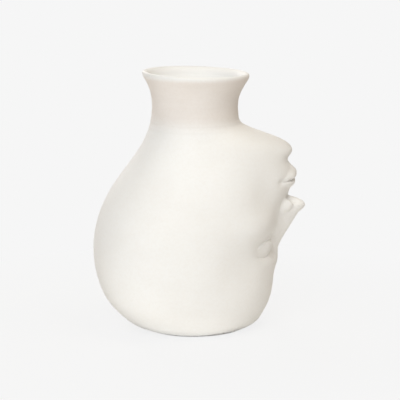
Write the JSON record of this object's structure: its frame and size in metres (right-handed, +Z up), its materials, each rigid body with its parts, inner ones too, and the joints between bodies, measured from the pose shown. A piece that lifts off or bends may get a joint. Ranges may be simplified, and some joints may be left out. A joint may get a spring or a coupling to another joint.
{
  "type": "vase",
  "caption": "Ceramic vase in the form of an upside-down head, crown cut flat as the foot, with a flared round neck.",
  "frame": {"origin": "table level under the middle of the neck and foot", "axes": "+Z up along the neck, +X the way the face looks"},
  "size_m": [0.2024, 0.1508, 0.245],
  "materials": {
    "bisque": "smooth matt off-white fired clay",
    "glaze": "glossy white glaze"
  },
  "bodies": {
    "root": {"face_half": "bisque", "back_half": "bisque", "neck_collar": "bisque", "base_slab": "bisque", "glaze_lining": "glaze"}
  },
  "joints": []
}
